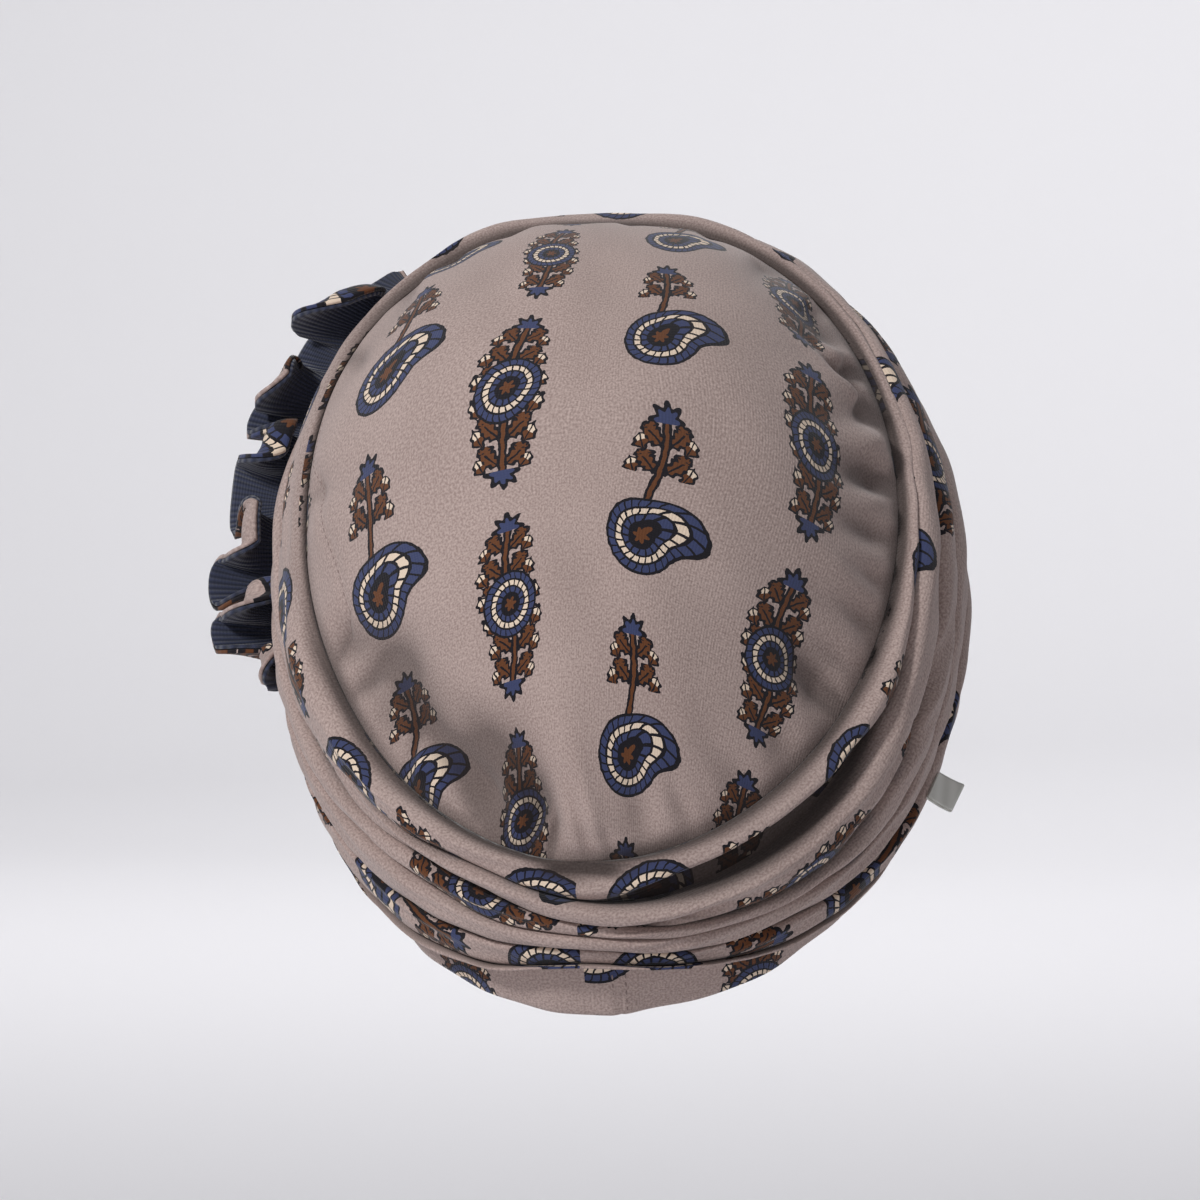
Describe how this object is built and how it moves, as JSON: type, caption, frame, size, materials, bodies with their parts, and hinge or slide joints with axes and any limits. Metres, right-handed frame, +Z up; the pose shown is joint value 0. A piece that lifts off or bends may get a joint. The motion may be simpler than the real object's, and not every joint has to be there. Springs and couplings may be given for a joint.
{
  "type": "turban headwrap",
  "caption": "Draped jersey turban with a smooth crown panel, folds wound round it in two pieces, double-faced frill on the wearer's left and a bare side label, in a mauve paisley print",
  "frame": {"origin": "centre of the head opening, in the plane of the hem's edge, where the wrap sits on a head", "axes": "-Y is the face, +Y the nape, +X the wearer's left with the frill, -X the wearer's right with the label, +Z up"},
  "size_m": [0.2066, 0.2058, 0.2075],
  "materials": {
    "printed_jersey": "matt",
    "rib_knit": "matt",
    "label_tape": "satin"
  },
  "bodies": {
    "root": {"crown_panel": "printed_jersey", "inner_wrap": "printed_jersey", "outer_wrap": "printed_jersey", "hem_band": "printed_jersey", "ruffle_face": "printed_jersey", "ruffle_lining": "rib_knit", "side_label": "label_tape"}
  },
  "joints": []
}
